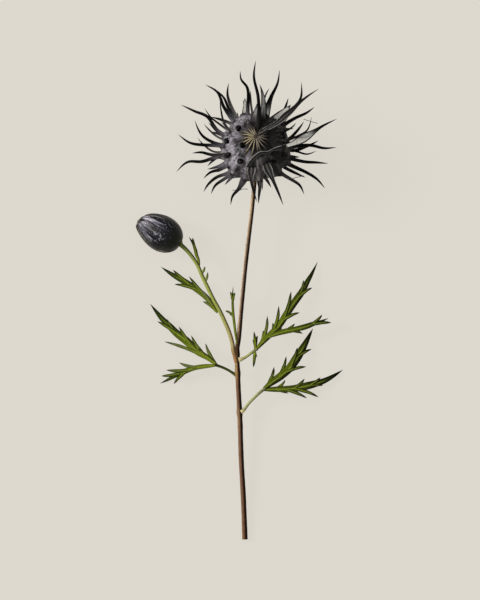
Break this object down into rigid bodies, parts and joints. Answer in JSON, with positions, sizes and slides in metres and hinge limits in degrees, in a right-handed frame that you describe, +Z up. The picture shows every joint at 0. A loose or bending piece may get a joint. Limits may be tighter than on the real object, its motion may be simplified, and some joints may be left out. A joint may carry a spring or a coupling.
{
  "type": "nigella seed pod sprig",
  "caption": "Dried cut sprig with a spiny round seed head, a closed bud on a side stalk and finely cut leaves, lying down.",
  "frame": {"origin": "centre of the footprint, on the surface that the sprig lies on", "axes": "+Z up from that surface, +Y along the stem from the cut end towards the seed head, +X to the right of the stem seen from above"},
  "size_m": [0.1034, 0.2391, 0.0512],
  "materials": {
    "leaf_green": "matte",
    "stem_brown": "satin",
    "stalk_green": "satin",
    "bud_black": "satin",
    "head_grey": "matte",
    "ray_tan": "matte"
  },
  "bodies": {
    "root": {"main_stem": "stem_brown", "side_stalk": "stalk_green", "bud": "bud_black", "seed_head": "head_grey", "ray_star": "ray_tan", "leaf_left": "leaf_green", "leaf_of_stalk": "leaf_green", "leaflet_by_bud": "leaf_green", "leaf_in_axil": "leaf_green", "leaf_right_upper": "leaf_green", "leaf_right_lower": "leaf_green"}
  },
  "joints": []
}
